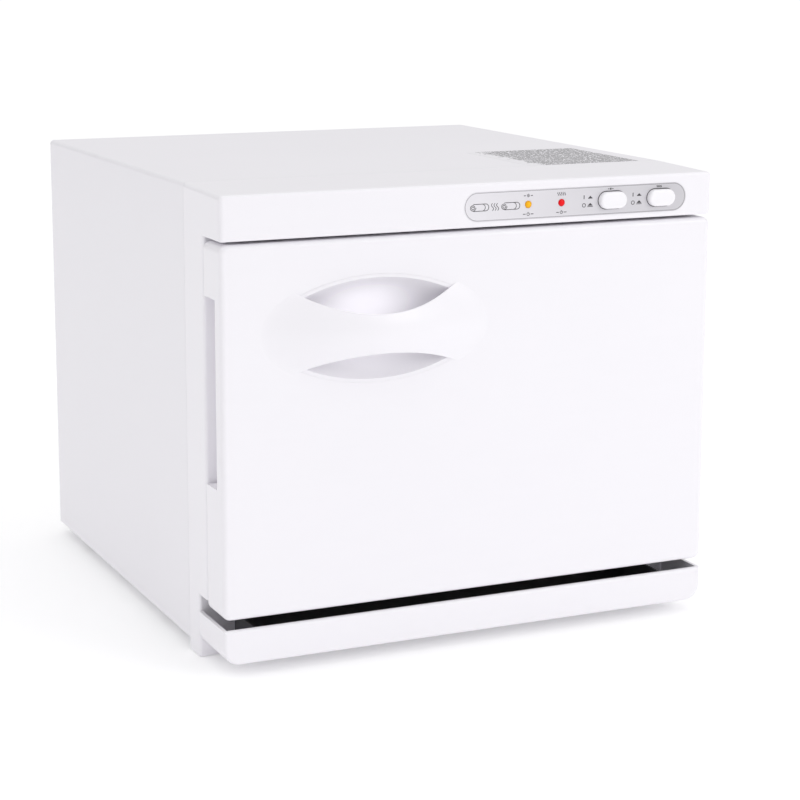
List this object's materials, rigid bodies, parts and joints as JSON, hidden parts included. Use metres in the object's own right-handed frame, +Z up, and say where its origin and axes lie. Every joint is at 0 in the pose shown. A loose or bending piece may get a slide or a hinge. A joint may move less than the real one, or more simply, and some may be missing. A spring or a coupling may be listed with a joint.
{
  "type": "hot towel cabinet",
  "caption": "Countertop steel cabinet that warms and sanitises rolled towels, with a hinged insulated door, wire shelves, push buttons and a pull-out drip tray.",
  "frame": {"origin": "on the standing surface, under the middle of the cabinet's overall box", "axes": "+X to the cabinet's right seen from the front, +Y to the back, +Z up; the door faces -Y"},
  "size_m": [0.36, 0.4068, 0.3166],
  "materials": {
    "white_moulding": "satin moulded plastic",
    "white_button": "smooth moulded plastic",
    "painted_steel": "fine powder coat",
    "chamber_aluminium": "brushed sheet",
    "shelf_wire": "bright plated wire",
    "zinc_steel": "zinc-plated sheet",
    "screw_steel": "plated screws",
    "foot_rubber": "dull rubber",
    "gasket_rubber": "soft light-grey seal",
    "label_film": "printed overlay",
    "sticker_film": "printed sticker",
    "amber_lens": "tinted clear plastic",
    "red_lens": "tinted clear plastic",
    "lamp_quartz": "clear quartz",
    "lamp_cap_metal": "pressed caps",
    "lamp_holder_plastic": "heat-resistant plastic",
    "mineral_wool": "compressed wool slab",
    "door_foam": "rigid foam slab",
    "silicone_mat": "moulded silicone",
    "black_plastic": "matt moulded plastic",
    "trough_plastic": "dark moulded plastic",
    "circuit_board": "coated board",
    "magnet_ferrite": "sintered magnet",
    "starter_case": "pressed can"
  },
  "bodies": {
    "cabinet": {"front_frame": "white_moulding", "front_foot_pads": "foot_rubber", "outer_casing": "painted_steel", "base_pan": "zinc_steel", "rear_cover": "painted_steel", "rear_feet": "foot_rubber", "foot_screws": "screw_steel", "casing_screws": "screw_steel", "rear_cover_screws": "screw_steel", "power_inlet": "black_plastic", "chamber_liner": "chamber_aluminium", "shelf_ledges": "chamber_aluminium", "lower_shelf": "shelf_wire", "upper_shelf": "shelf_wire", "heat_spreader": "chamber_aluminium", "heater_mat": "silicone_mat", "thermostat": "black_plastic", "thermal_fuse": "starter_case", "insulation_wrap": "mineral_wool", "insulation_floor": "mineral_wool", "insulation_back": "mineral_wool", "uv_lamp_tube": "lamp_quartz", "uv_lamp_caps": "lamp_cap_metal", "uv_lamp_holders": "lamp_holder_plastic", "uv_reflector": "chamber_aluminium", "uv_lamp_guard": "shelf_wire", "ballast": "zinc_steel", "starter": "starter_case", "terminal_block": "black_plastic", "lamp_board": "circuit_board", "control_label": "label_film", "top_label": "sticker_film", "switch_bracket": "zinc_steel", "catch_magnet": "magnet_ferrite", "lower_hinge_bracket": "zinc_steel", "lower_hinge_pin": "screw_steel", "upper_hinge_bracket": "zinc_steel", "upper_hinge_pin": "screw_steel", "tray_runners": "lamp_holder_plastic", "amber_lamp_lens": "amber_lens", "red_lamp_lens": "red_lens", "uv_switch_body": "black_plastic", "warmer_switch_body": "black_plastic"},
    "door": {"door_shell": "white_moulding", "door_inner_panel": "chamber_aluminium", "door_insulation": "door_foam", "door_gasket": "gasket_rubber", "door_panel_screws": "screw_steel", "catch_plate": "zinc_steel", "handle_cup": "white_moulding", "handle_grip": "white_moulding", "hinge_bushes": "lamp_holder_plastic"},
    "tray": {"drip_tray": "white_moulding", "drip_trough": "trough_plastic"},
    "uv_button": {"uv_button": "white_button"},
    "warmer_button": {"warmer_button": "white_button"}
  },
  "joints": [
    {"name": "door_hinge", "type": "hinge", "parent": "cabinet", "child": "door", "pos_m": [0.172, -0.1644, 0.16115], "axis": [0, 0, 1], "range_deg": [0, 95]},
    {"name": "tray_slide", "type": "slide", "parent": "cabinet", "child": "tray", "axis": [0, -1, 0], "range_m": [0, 0.06]},
    {"name": "uv_button_press", "type": "slide", "parent": "cabinet", "child": "uv_button", "axis": [0, 1, 0], "range_m": [0, 0.003], "stiffness_N_per_m": 300},
    {"name": "warmer_button_press", "type": "slide", "parent": "cabinet", "child": "warmer_button", "axis": [0, 1, 0], "range_m": [0, 0.003], "stiffness_N_per_m": 300}
  ]
}
